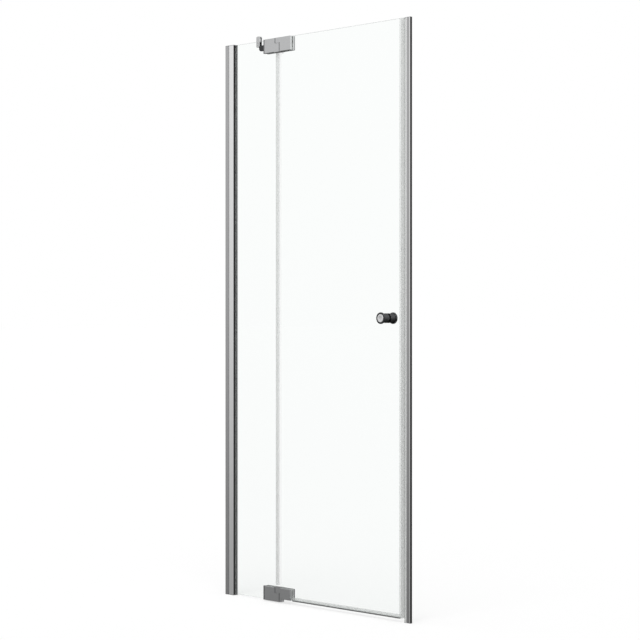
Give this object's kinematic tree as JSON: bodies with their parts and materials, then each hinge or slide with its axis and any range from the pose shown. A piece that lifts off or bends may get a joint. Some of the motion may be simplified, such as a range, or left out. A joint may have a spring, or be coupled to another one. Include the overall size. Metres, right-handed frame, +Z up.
{
  "type": "shower door",
  "caption": "Clear glass shower door for a niche: narrow fixed pane in a wall profile, wide pane that opens outwards on chrome pivot hinges, round knob, clear seals.",
  "frame": {"origin": "on the floor line, half way across the opening, in the middle of the glass", "axes": "+X along the closed door from the hinge side to the strike side, -Y to the outside where the door opens, +Z up"},
  "size_m": [0.9, 0.063, 1.9658],
  "materials": {
    "chrome_plate": "polished chrome plate",
    "bright_aluminium": "bright-dipped aluminium extrusion, polished",
    "wall_aluminium": "bright-dipped aluminium extrusion",
    "black_rubber": "matt black rubber",
    "clear_pvc": "clear soft PVC",
    "clear_glass": "clear toughened glass, polished edges",
    "stainless": "plain stainless steel",
    "acetal": "white acetal, self-lubricating",
    "magnet": "bonded magnet strip in a light grey coat",
    "smoked_chrome": "polished chrome that mirrors dark surroundings",
    "mirror_disc": "fine satin chrome disc"
  },
  "bodies": {
    "frame": {"wall_channel": "wall_aluminium", "glass_profile": "bright_aluminium", "front_glazing_gasket": "black_rubber", "rear_glazing_tape": "black_rubber", "setting_block": "black_rubber", "top_profile_cap": "wall_aluminium", "bottom_profile_cap": "wall_aluminium", "adjusting_screws": "stainless", "screw_covers": "chrome_plate", "fixed_glass": "clear_glass", "upper_fixed_leaf": "chrome_plate", "upper_fixed_clamp": "chrome_plate", "upper_fixed_gaskets": "clear_pvc", "upper_fixed_screws": "stainless", "lower_fixed_leaf": "chrome_plate", "lower_fixed_clamp": "chrome_plate", "lower_fixed_gaskets": "clear_pvc", "lower_fixed_screws": "stainless", "fixed_cams": "acetal", "pin_plugs": "black_rubber", "gap_seal": "clear_pvc", "strike_profile": "wall_aluminium", "strike_seal": "clear_pvc", "strike_magnet": "magnet", "strike_caps": "wall_aluminium", "stirrup": "chrome_plate", "stirrup_arm": "smoked_chrome", "stirrup_pad": "black_rubber", "stirrup_screws": "stainless"},
    "pins": {"pivot_pins": "stainless"},
    "door": {"door_cams": "acetal", "door_glass": "clear_glass", "upper_door_leaf": "chrome_plate", "upper_door_clamp": "chrome_plate", "upper_door_gaskets": "clear_pvc", "upper_door_screws": "stainless", "lower_door_leaf": "chrome_plate", "lower_door_clamp": "chrome_plate", "lower_door_gaskets": "clear_pvc", "lower_door_screws": "stainless", "knob_front": "smoked_chrome", "knob_back": "smoked_chrome", "knob_discs": "mirror_disc", "knob_stud": "stainless", "knob_sleeve": "black_rubber", "knob_washers": "black_rubber", "door_edge_seal": "clear_pvc", "door_magnet": "magnet", "drip_seal": "clear_pvc"}
  },
  "joints": [
    {"name": "door_swing", "type": "hinge", "parent": "frame", "child": "pins", "pos_m": [-0.1757, 0, 0], "axis": [0, 0, -1], "range_deg": [0, 95]},
    {"name": "door_rise", "type": "slide", "parent": "pins", "child": "door", "axis": [0, 0, 1], "range_m": [0, 0.004]}
  ],
  "couplings": [
    {"joint": "door_rise", "follows": "door_swing", "m_per_rad": 0.002412}
  ]
}
